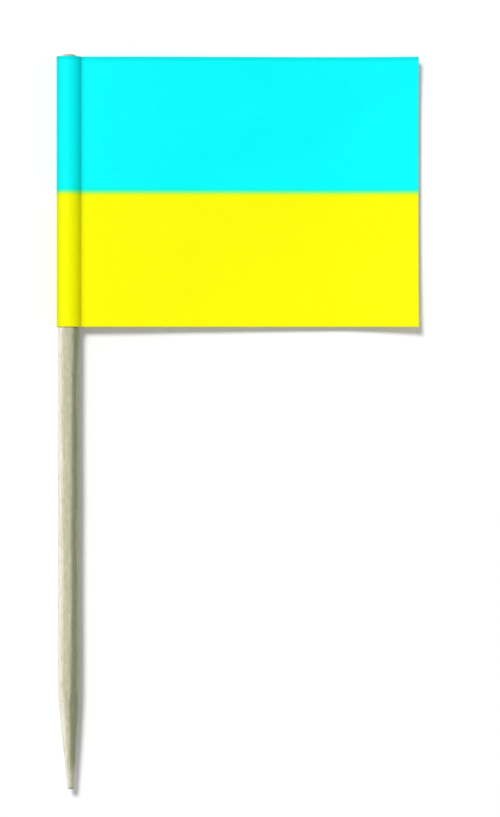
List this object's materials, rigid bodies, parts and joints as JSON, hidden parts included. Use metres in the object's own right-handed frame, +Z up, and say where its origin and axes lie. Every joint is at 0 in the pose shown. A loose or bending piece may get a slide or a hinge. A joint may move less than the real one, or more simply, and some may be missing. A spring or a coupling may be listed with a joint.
{
  "type": "flag toothpick",
  "caption": "Round wooden toothpick with a small paper flag folded and glued round its upper part, for marking or decorating food.",
  "frame": {"origin": "on the surface that it lies on, under the middle of its outline", "axes": "+Y along the pick towards its head, +X across the flag towards its free edge, +Z up"},
  "size_m": [0.0334, 0.068, 0.0022],
  "materials": {
    "pick_wood": "matte",
    "flag_paper": "matte",
    "dried_glue": "satin"
  },
  "bodies": {
    "root": {"toothpick": "pick_wood", "paper_flag": "flag_paper", "glue_film": "dried_glue"}
  },
  "joints": []
}
